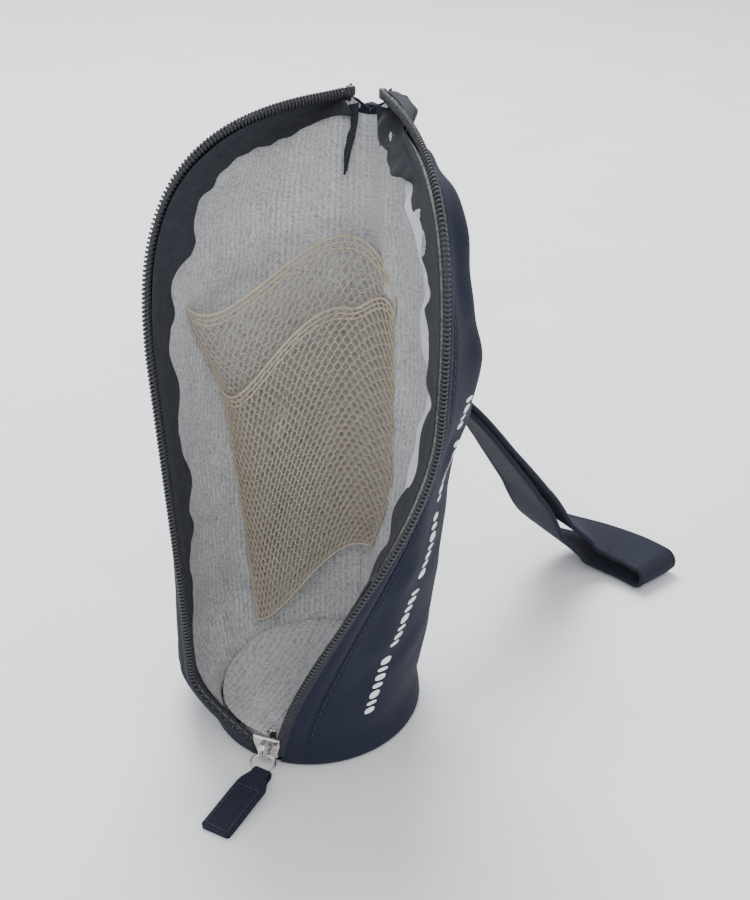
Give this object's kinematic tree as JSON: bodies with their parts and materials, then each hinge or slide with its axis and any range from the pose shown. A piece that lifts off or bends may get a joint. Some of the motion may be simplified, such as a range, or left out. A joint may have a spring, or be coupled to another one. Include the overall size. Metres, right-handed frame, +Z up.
{
  "type": "zip travel pouch",
  "caption": "Slim navy zip pouch with grey towelling lining, inner net pocket, nickel slider with fabric tab and a wrist strap, standing open.",
  "frame": {"origin": "centre of the oval base, on the floor", "axes": "+Z up along the spine, -Y to the zip's lower end, +Y to the spine, +X to the printed side"},
  "size_m": [0.1663, 0.2385, 0.2285],
  "materials": {
    "navy_twill": "matte woven polyester twill",
    "navy_webbing": "matte ribbed webbing",
    "grey_towelling": "looped microfibre pile",
    "charcoal_tape": "herringbone woven tape",
    "charcoal_coil": "satin nylon monofilament",
    "beige_net": "open hexagonal knitted net",
    "nickel": "polished nickel plate"
  },
  "bodies": {
    "bag_base": {"base_panel": "navy_twill", "base_lining": "grey_towelling", "bottom_stop": "nickel", "spine_seam": "navy_twill", "strap_anchor": "navy_webbing", "left_panel_lower": "navy_twill", "left_lining_lower": "grey_towelling", "left_tape_lower": "charcoal_tape", "left_coil_lower": "charcoal_coil", "right_panel_lower": "navy_twill", "right_lining_lower": "grey_towelling", "right_tape_lower": "charcoal_tape", "right_coil_lower": "charcoal_coil"},
    "left_wall": {"left_panel": "navy_twill", "left_lining": "grey_towelling", "left_tape": "charcoal_tape", "left_coil": "charcoal_coil", "left_top_stop": "charcoal_coil", "net_pocket": "beige_net", "net_hem": "beige_net"},
    "right_wall": {"right_panel": "navy_twill", "right_lining": "grey_towelling", "right_tape": "charcoal_tape", "right_coil": "charcoal_coil", "right_top_stop": "charcoal_coil"},
    "slider": {"slider_body": "nickel", "slider_crown": "nickel"},
    "ring": {"pull_ring": "nickel"},
    "tab": {"pull_tab": "navy_webbing"},
    "strap": {"wrist_strap": "navy_webbing"}
  },
  "joints": [
    {"name": "slider_travel", "type": "slide", "parent": "bag_base", "child": "slider", "axis": [0, -0.0887, 0.9961], "range_m": [0, 0.13]},
    {"name": "left_wall_close", "type": "hinge", "parent": "bag_base", "child": "left_wall", "pos_m": [0, 0.043, 0], "axis": [0, 0, 1], "range_deg": [0, 21.8]},
    {"name": "right_wall_close", "type": "hinge", "parent": "bag_base", "child": "right_wall", "pos_m": [0, 0.043, 0], "axis": [0, 0, -1], "range_deg": [0, 35]},
    {"name": "ring_swing", "type": "hinge", "parent": "slider", "child": "ring", "pos_m": [0, -0.0471, 0.00646], "axis": [-0.9397, -0.342, 0], "range_deg": [0, 55]},
    {"name": "tab_swing", "type": "hinge", "parent": "ring", "child": "tab", "pos_m": [0.00294, -0.05518, 0.00463], "axis": [-0.9925, 0.1219, 0], "range_deg": [0, 25]},
    {"name": "strap_swing", "type": "hinge", "parent": "bag_base", "child": "strap", "pos_m": [0, 0.0526, 0.151], "axis": [1, 0, 0], "range_deg": [0, 70]}
  ],
  "couplings": [
    {"joint": "left_wall_close", "follows": "slider_travel", "rad_per_m": 2.9268},
    {"joint": "right_wall_close", "follows": "slider_travel", "rad_per_m": 4.699}
  ]
}
